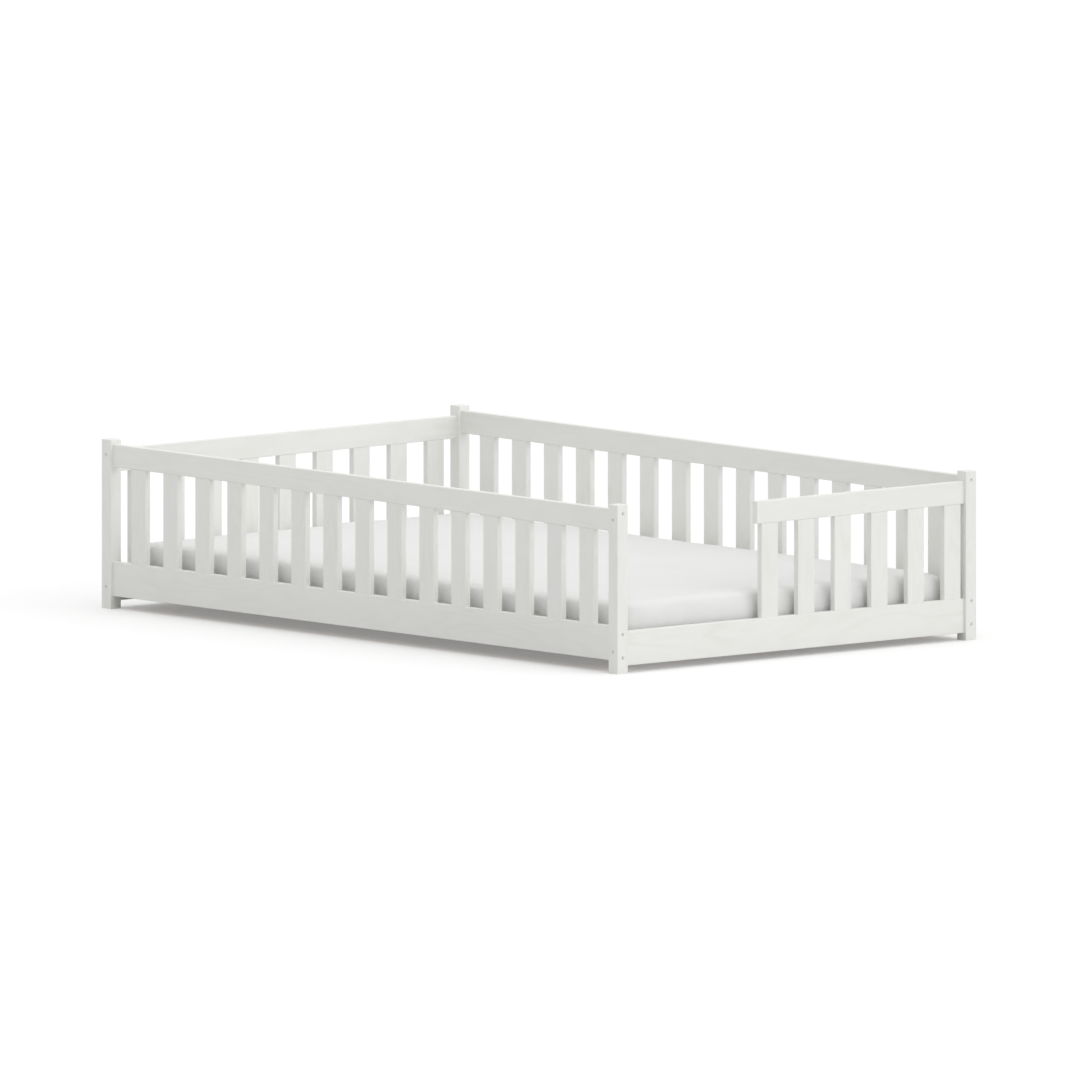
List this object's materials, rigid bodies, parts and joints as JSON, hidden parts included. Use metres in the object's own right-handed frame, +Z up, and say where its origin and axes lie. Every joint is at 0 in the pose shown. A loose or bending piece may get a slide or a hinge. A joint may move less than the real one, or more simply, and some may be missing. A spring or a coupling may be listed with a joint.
{
  "type": "single bed",
  "caption": "Low white-painted wooden child's bed with a slatted fence all round, a way in beside a short guard at one end, bolted corner posts and a loose mattress on a boarded base.",
  "frame": {"origin": "on the floor, in the middle of the bed's length and width", "axes": "+X along the bed towards the end with the way in, +Y across the bed towards the side where the guard stands, +Z up"},
  "size_m": [2.09, 1.262, 0.452],
  "materials": {
    "white_paint": "white satin paint on pine",
    "bare_pine": "planed pine, untreated",
    "zinc_steel": "zinc plated",
    "white_cap": "white moulded plastic",
    "mattress_cover": "white woven cotton cover"
  },
  "bodies": {
    "frame": {"back_bottom_rail": "white_paint", "back_slats": "white_paint", "back_top_rail": "white_paint", "barrel_nuts": "zinc_steel", "base_boards": "bare_pine", "beam_bracket_entry": "zinc_steel", "beam_bracket_head": "zinc_steel", "board_screws": "zinc_steel", "bracket_screws": "zinc_steel", "centre_beam": "bare_pine", "centre_foot": "bare_pine", "entry_bottom_rail": "white_paint", "front_bottom_rail": "white_paint", "front_slat_01": "white_paint", "front_slat_02": "white_paint", "front_slat_03": "white_paint", "front_slat_04": "white_paint", "front_slat_05": "white_paint", "front_slat_06": "white_paint", "front_slat_07": "white_paint", "front_slat_08": "white_paint", "front_slat_09": "white_paint", "front_slat_10": "white_paint", "front_slat_11": "white_paint", "front_slat_12": "white_paint", "front_slat_13": "white_paint", "front_slat_14": "white_paint", "front_slat_15": "white_paint", "front_top_rail": "white_paint", "guard_slat_01": "white_paint", "guard_slat_02": "white_paint", "guard_slat_03": "white_paint", "guard_slat_04": "white_paint", "guard_slat_05": "white_paint", "guard_slat_06": "white_paint", "guard_top_rail": "white_paint", "head_bottom_rail": "white_paint", "head_slat_01": "white_paint", "head_slat_02": "white_paint", "head_slat_03": "white_paint", "head_slat_04": "white_paint", "head_slat_05": "white_paint", "head_slat_06": "white_paint", "head_slat_07": "white_paint", "head_slat_08": "white_paint", "head_slat_09": "white_paint", "head_top_rail": "white_paint", "ledger_back": "bare_pine", "ledger_front": "bare_pine", "long_screws": "zinc_steel", "nut_caps": "white_cap", "post_entry_back": "white_paint", "post_entry_front": "white_paint", "post_head_back": "white_paint", "post_head_front": "white_paint", "rail_bolts": "zinc_steel", "rail_dowels": "bare_pine", "spare_bolt": "zinc_steel", "spare_cap_nut": "zinc_steel"},
    "mattress": {"mattress": "mattress_cover"}
  },
  "joints": [
    {"name": "mattress_lift", "type": "slide", "parent": "frame", "child": "mattress", "axis": [0, 0, 1], "range_m": [0, 0.4]}
  ]
}
